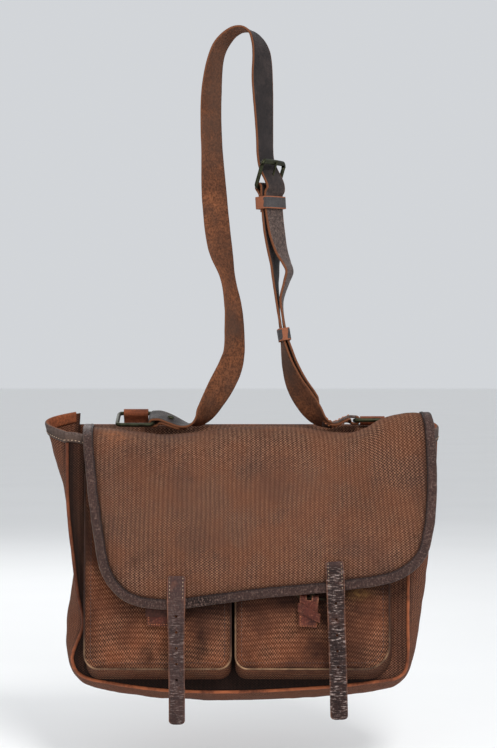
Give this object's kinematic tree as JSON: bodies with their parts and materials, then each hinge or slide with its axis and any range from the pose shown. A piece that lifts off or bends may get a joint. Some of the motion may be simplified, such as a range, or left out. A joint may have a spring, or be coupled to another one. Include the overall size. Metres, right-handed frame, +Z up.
{
  "type": "satchel",
  "caption": "Old canvas satchel with a leather-bound flap, box pockets with buckles and a buckled leather shoulder strap, hanging by the strap",
  "frame": {"origin": "on the underside of the shoulder strap at the top of its loop, where the satchel hangs", "axes": "+Z up, the flap and pockets face -Y, +X to the right of someone who faces the front"},
  "size_m": [0.3996, 0.1142, 0.695],
  "materials": {
    "flap_canvas": "worn ribbed canvas, grey-brown",
    "body_canvas": "worn ribbed canvas, brown",
    "pocket_canvas": "worn ribbed canvas, orange-brown with dark stains",
    "dark_leather": "dark brown grained leather, shiny where rubbed",
    "tan_leather": "orange-tan leather, scuffed",
    "pale_leather": "leather worn down to pale beige",
    "strap_leather": "near-black grain outside, orange-brown suede inside",
    "red_leather": "reddish brown leather, rubbed",
    "brass": "dull old brass, dark green-brown"
  },
  "bodies": {
    "root": {"flap": "flap_canvas", "gusset": "body_canvas", "back_panel": "body_canvas", "front_panel": "body_canvas", "pocket_front_left": "pocket_canvas", "pocket_front_right": "pocket_canvas", "pocket_gusset_left": "pocket_canvas", "pocket_gusset_right": "pocket_canvas", "flap_binding": "dark_leather", "gusset_binding_left": "dark_leather", "gusset_binding_right": "dark_leather", "closure_strap_left": "dark_leather", "closure_strap_right": "dark_leather", "tab_keeper_left": "dark_leather", "tab_keeper_right": "dark_leather", "front_piping": "tan_leather", "ring_tab_left": "tan_leather", "ring_tab_right": "tan_leather", "keeper_upper": "tan_leather", "keeper_lower": "tan_leather", "pocket_piping_left": "pale_leather", "pocket_piping_right": "pale_leather", "strap_short": "strap_leather", "strap_long": "strap_leather", "buckle_tab_left": "red_leather", "buckle_tab_right": "red_leather", "pocket_buckle_left": "brass", "pocket_buckle_right": "brass", "ring_left": "brass", "ring_right": "brass", "strap_buckle": "brass", "buckle_prong": "brass", "strap_rivet": "brass"}
  },
  "joints": []
}
